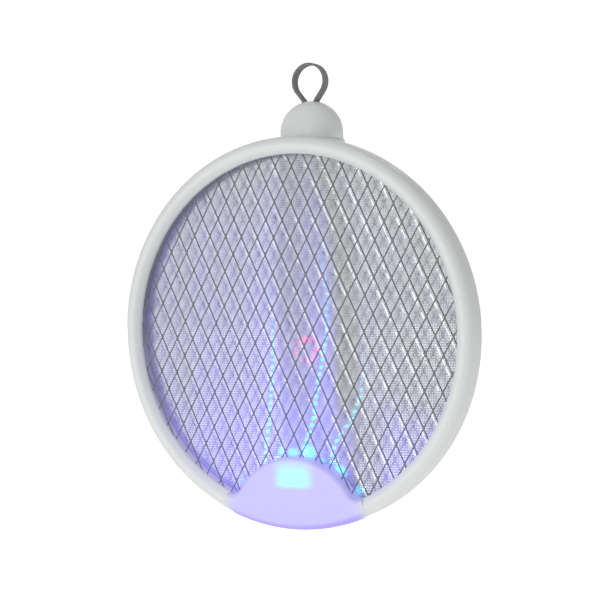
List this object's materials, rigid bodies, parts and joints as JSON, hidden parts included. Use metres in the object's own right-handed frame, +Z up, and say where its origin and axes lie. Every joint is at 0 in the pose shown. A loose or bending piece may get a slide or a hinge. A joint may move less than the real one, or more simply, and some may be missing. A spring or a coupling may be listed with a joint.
{
  "type": "electric fly swatter",
  "caption": "Round folding electric fly swatter with stacked metal grids, a half-moon lamp housing, a fold-back handle and a hanging loop.",
  "frame": {"origin": "the inside top of the hanging loop, where a hook carries the swatter", "axes": "+Z up as it hangs folded, -Y towards the side with the lamp cover, +X to the right seen from that side"},
  "size_m": [0.22, 0.0538, 0.2653],
  "materials": {
    "white_plastic": "satin moulded plastic, slightly warm white",
    "lamp_plastic": "translucent white plastic lit from behind, lilac with a cyan patch",
    "grid_metal": "expanded aluminium, dull",
    "mesh_metal": "fine woven wire, bright",
    "spacer_plastic": "insulating plastic",
    "circuit_board": "green fibreglass board",
    "light_panel": "lit diffuser of the lamp panel",
    "led_lens": "clear violet LED lens, lit",
    "brass": "bare brass",
    "screw_steel": "zinc-plated steel",
    "contact_steel": "nickel-plated spring steel",
    "pad_rubber": "soft grey rubber",
    "webbing": "grey woven polyester tape",
    "battery_sleeve": "shrink sleeve of a lithium cell",
    "ferrite": "ferrite core with taped winding",
    "capacitor_film": "dipped film capacitor",
    "black_plastic": "black switch body",
    "clear_plastic": "clear light guide",
    "ring_red": "translucent red ring, lit",
    "button_plastic": "white plastic"
  },
  "bodies": {
    "handle": {"hinge_arm": "white_plastic", "arm_screws": "screw_steel", "handle_front_shell": "white_plastic", "handle_rear_shell": "white_plastic", "shell_screws": "screw_steel", "fold_pad": "pad_rubber", "end_cap": "white_plastic", "strap_pin": "screw_steel", "wrist_loop": "webbing", "battery_cell": "battery_sleeve", "battery_contact_top": "contact_steel", "battery_contact_bottom": "contact_steel", "main_board": "circuit_board", "transformer": "ferrite", "storage_capacitor": "capacitor_film", "press_switch": "black_plastic", "slide_switch": "contact_steel", "usb_socket": "contact_steel", "light_pipe": "clear_plastic", "button_ring": "ring_red"},
    "head": {"front_rim": "white_plastic", "rear_rim": "white_plastic", "lamp_cover": "lamp_plastic", "front_grid": "grid_metal", "middle_grid": "mesh_metal", "rear_grid": "grid_metal", "front_spacer": "spacer_plastic", "rear_spacer": "spacer_plastic", "lamp_board": "circuit_board", "front_light": "light_panel", "uv_led_1": "led_lens", "uv_led_2": "led_lens", "uv_led_3": "led_lens", "uv_led_4": "led_lens", "uv_led_5": "led_lens", "outer_grid_terminal": "brass", "middle_grid_terminal": "brass", "rim_screws": "screw_steel", "hinge_pin": "screw_steel", "contact_washer_left": "brass", "contact_washer_right": "brass"},
    "power_button": {"power_button": "button_plastic"},
    "mode_switch": {"mode_switch": "button_plastic"}
  },
  "joints": [
    {"name": "head_fold", "type": "hinge", "parent": "handle", "child": "head", "pos_m": [0, -0.0115, -0.2525], "axis": [1, 0, 0], "range_deg": [0, 180]},
    {"name": "power_button_press", "type": "slide", "parent": "handle", "child": "power_button", "axis": [0, 1, 0], "range_m": [0, 0.0012], "stiffness_N_per_m": 500, "springref_m": -0.001},
    {"name": "mode_switch_slide", "type": "slide", "parent": "handle", "child": "mode_switch", "axis": [0, 0, 1], "range_m": [0, 0.006]}
  ]
}
